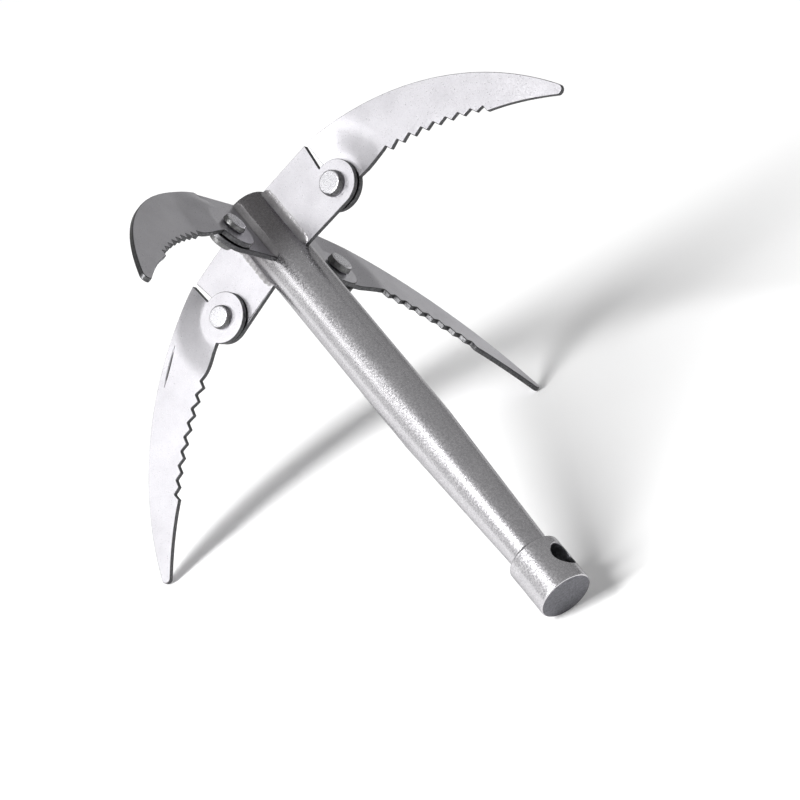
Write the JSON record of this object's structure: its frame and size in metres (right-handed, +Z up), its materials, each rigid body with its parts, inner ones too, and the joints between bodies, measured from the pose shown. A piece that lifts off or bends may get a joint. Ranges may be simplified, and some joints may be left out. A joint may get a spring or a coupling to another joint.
{
  "type": "folding grapnel anchor",
  "caption": "Folding grapnel with serrated hook blades, riveted to ears welded round a tapered bar shank that ends in a drilled rope eye.",
  "frame": {"origin": "middle of the footprint, on the floor the anchor rests on", "axes": "+Z up; +Y along the floor from the rope eye towards the head; +X to the right when seen from the rope eye"},
  "size_m": [0.172, 0.197, 0.1537],
  "materials": {
    "turned_bar": "turned stainless bar, fine blasted grain, soft long highlight",
    "satin_sheet": "bead-blasted stainless sheet, matt satin, cut edges darker",
    "weld_bead": "scalloped fillet bead, cleaned, dull",
    "rivet": "blasted heads with rounded rims",
    "washer": "plain thin washer, mostly hidden"
  },
  "bodies": {
    "shank": {"shank": "turned_bar", "ear_1": "satin_sheet", "weld_1_a": "weld_bead", "weld_1_b": "weld_bead", "rivet_1": "rivet", "washer_1": "washer", "ear_2": "satin_sheet", "weld_2_a": "weld_bead", "weld_2_b": "weld_bead", "rivet_2": "rivet", "washer_2": "washer", "ear_3": "satin_sheet", "weld_3_a": "weld_bead", "weld_3_b": "weld_bead", "rivet_3": "rivet", "washer_3": "washer", "ear_4": "satin_sheet", "weld_4_a": "weld_bead", "weld_4_b": "weld_bead", "rivet_4": "rivet", "washer_4": "washer"},
    "blade_1": {"blade_1": "satin_sheet"},
    "blade_2": {"blade_2": "satin_sheet"},
    "blade_3": {"blade_3": "satin_sheet"},
    "blade_4": {"blade_4": "satin_sheet"}
  },
  "joints": [
    {"name": "blade_1_fold", "type": "hinge", "parent": "shank", "child": "blade_1", "pos_m": [0.02285, 0.05378, 0.11917], "axis": [0.7033, 0.3518, -0.6177], "range_deg": [-2.1, 70.7]},
    {"name": "blade_2_fold", "type": "hinge", "parent": "shank", "child": "blade_2", "pos_m": [-0.02345, 0.05348, 0.11971], "axis": [0.7218, -0.3425, 0.6014], "range_deg": [-1.9, 70.9]},
    {"name": "blade_3_fold", "type": "hinge", "parent": "shank", "child": "blade_3", "pos_m": [-0.02415, 0.07671, 0.07891], "axis": [-0.7008, -0.353, 0.6199], "range_deg": [-3.2, 69.6]},
    {"name": "blade_4_fold", "type": "hinge", "parent": "shank", "child": "blade_4", "pos_m": [0.02272, 0.07681, 0.07873], "axis": [-0.7072, 0.3499, -0.6144], "range_deg": [0, 72.8]}
  ]
}
